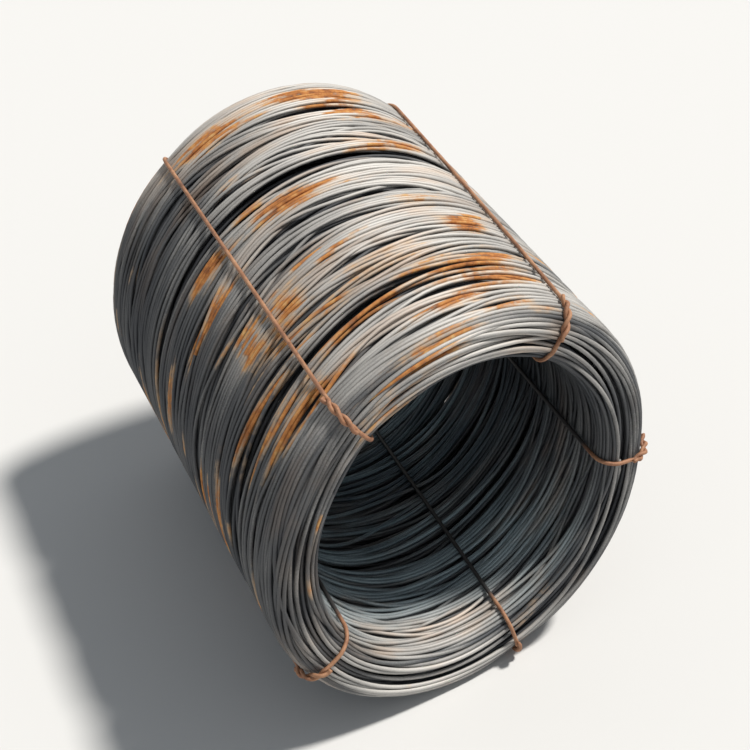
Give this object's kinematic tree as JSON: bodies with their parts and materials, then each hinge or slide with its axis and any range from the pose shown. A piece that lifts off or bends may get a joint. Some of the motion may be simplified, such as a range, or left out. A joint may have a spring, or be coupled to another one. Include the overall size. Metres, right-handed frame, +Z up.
{
  "type": "coil of wire rod",
  "caption": "Coil of hot-rolled steel wire rod lying on its side: a pack of round turns with an open bore, held by tie wires looped through the bore. Raw stock for drawing or rolling.",
  "frame": {"origin": "centre of the bounding box at the floor, under the middle of the coil's length", "axes": "+X along the coil's axis, towards the end where the tie wires' own ends are twisted together; +Z up"},
  "size_m": [1.5246, 1.2614, 1.25],
  "materials": {
    "rod_steel": "grey mill scale with rust streaks, not polished",
    "tie_steel": "rusty black annealed wire"
  },
  "bodies": {
    "root": {"rod_pack": "rod_steel", "tie_wire_1": "tie_steel", "tie_wire_2": "tie_steel", "tie_wire_3": "tie_steel", "tie_wire_4": "tie_steel", "tie_wire_5": "tie_steel"}
  },
  "joints": []
}
